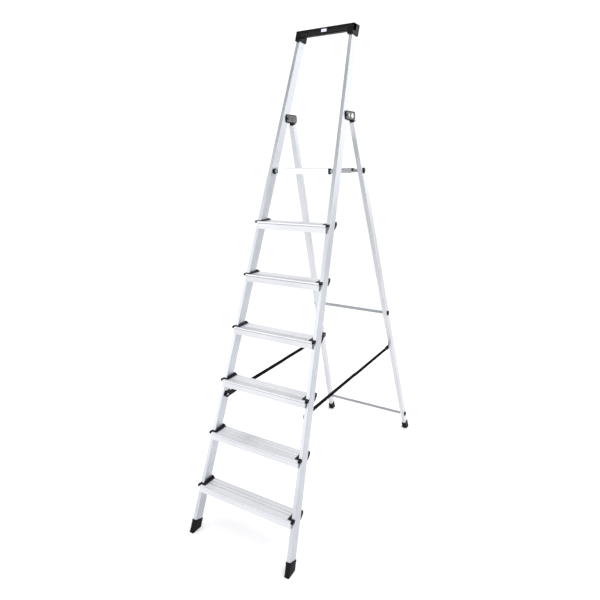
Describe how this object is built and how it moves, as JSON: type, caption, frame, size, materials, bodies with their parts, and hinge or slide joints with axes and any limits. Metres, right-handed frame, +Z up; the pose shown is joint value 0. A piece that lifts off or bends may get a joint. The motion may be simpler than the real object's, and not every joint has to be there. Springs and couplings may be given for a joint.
{
  "type": "step ladder",
  "caption": "Free-standing folding step ladder with flat steps, a folding platform, a raised hand rail and webbing spreader straps.",
  "frame": {"origin": "on the floor, midway across the ladder and midway between the front of the front feet and the back of the rear feet", "axes": "+X to the right of a person climbing, +Y away from the climber towards the rear legs, +Z up"},
  "size_m": [0.5392, 1.3912, 2.151],
  "materials": {
    "aluminium": "satin extruded",
    "black_plastic": "fine moulded grain",
    "knuckle_plastic": "smooth moulded",
    "foot_rubber": "matte moulded",
    "steel": "zinc plated",
    "webbing": "flat woven strap",
    "label": "smooth, blank"
  },
  "bodies": {
    "ladder_frame": {"stile_left": "aluminium", "stile_right": "aluminium", "front_foot_left": "foot_rubber", "front_foot_right": "foot_rubber", "step_1": "aluminium", "step_1_cap_left": "black_plastic", "step_1_cap_right": "black_plastic", "step_2": "aluminium", "step_2_cap_left": "black_plastic", "step_2_cap_right": "black_plastic", "step_3": "aluminium", "step_3_cap_left": "black_plastic", "step_3_cap_right": "black_plastic", "step_4": "aluminium", "step_4_cap_left": "black_plastic", "step_4_cap_right": "black_plastic", "step_5": "aluminium", "step_5_cap_left": "black_plastic", "step_5_cap_right": "black_plastic", "step_6": "aluminium", "step_6_cap_left": "black_plastic", "step_6_cap_right": "black_plastic", "hand_rail": "black_plastic", "label_plate": "label", "rail_rivets": "steel", "platform_front_rod": "aluminium", "platform_rod_collars": "black_plastic", "hinge_pins": "steel", "hinge_spacers": "steel", "strap_pins_front": "steel", "strap_bosses_front": "black_plastic"},
    "rear_frame": {"rear_leg_left": "aluminium", "rear_leg_right": "aluminium", "rear_foot_left": "foot_rubber", "rear_foot_right": "foot_rubber", "knuckle_left": "knuckle_plastic", "knuckle_right": "knuckle_plastic", "rear_bar_lower": "aluminium", "rear_bar_upper": "aluminium", "platform_rear_rod": "aluminium", "rear_bar_caps": "black_plastic", "knuckle_rivets": "steel", "strap_bosses_rear": "black_plastic"},
    "platform": {"platform_deck": "aluminium", "platform_bush_left": "black_plastic", "platform_bush_right": "black_plastic", "platform_hook_left": "black_plastic", "platform_hook_right": "black_plastic"},
    "strap_front_left": {"strap_end_front_left": "black_plastic", "strap_web_front_left": "webbing"},
    "strap_rear_left": {"strap_web_rear_left": "webbing", "strap_end_rear_left": "black_plastic", "strap_stud_rear_left": "steel"},
    "strap_front_right": {"strap_end_front_right": "black_plastic", "strap_web_front_right": "webbing"},
    "strap_rear_right": {"strap_web_rear_right": "webbing", "strap_end_rear_right": "black_plastic", "strap_stud_rear_right": "steel"}
  },
  "joints": [
    {"name": "rear_frame_fold", "type": "hinge", "parent": "ladder_frame", "child": "rear_frame", "pos_m": [0, -0.02326, 1.778], "axis": [-1, 0, 0], "range_deg": [0, 39.4]},
    {"name": "platform_fold", "type": "hinge", "parent": "ladder_frame", "child": "platform", "pos_m": [0, -0.11402, 1.549], "axis": [1, 0, 0], "range_deg": [0, 70.5]},
    {"name": "strap_front_left_fold", "type": "hinge", "parent": "ladder_frame", "child": "strap_front_left", "pos_m": [0, -0.45714, 0.587], "axis": [-1, 0, 0], "range_deg": [0, 89.5]},
    {"name": "strap_rear_left_fold", "type": "hinge", "parent": "strap_front_left", "child": "strap_rear_left", "pos_m": [0, 0.02286, 0.587], "axis": [1, 0, 0], "range_deg": [0, 173]},
    {"name": "strap_front_right_fold", "type": "hinge", "parent": "ladder_frame", "child": "strap_front_right", "pos_m": [0, -0.45714, 0.587], "axis": [-1, 0, 0], "range_deg": [0, 89.5]},
    {"name": "strap_rear_right_fold", "type": "hinge", "parent": "strap_front_right", "child": "strap_rear_right", "pos_m": [0, 0.02286, 0.587], "axis": [1, 0, 0], "range_deg": [0, 173]}
  ],
  "couplings": [
    {"joint": "platform_fold", "follows": "rear_frame_fold", "ratio": 1.7843},
    {"joint": "strap_front_left_fold", "follows": "rear_frame_fold", "ratio": 2.2577},
    {"joint": "strap_rear_left_fold", "follows": "rear_frame_fold", "ratio": 4.3876},
    {"joint": "strap_front_right_fold", "follows": "rear_frame_fold", "ratio": 2.2577},
    {"joint": "strap_rear_right_fold", "follows": "rear_frame_fold", "ratio": 4.3876}
  ]
}
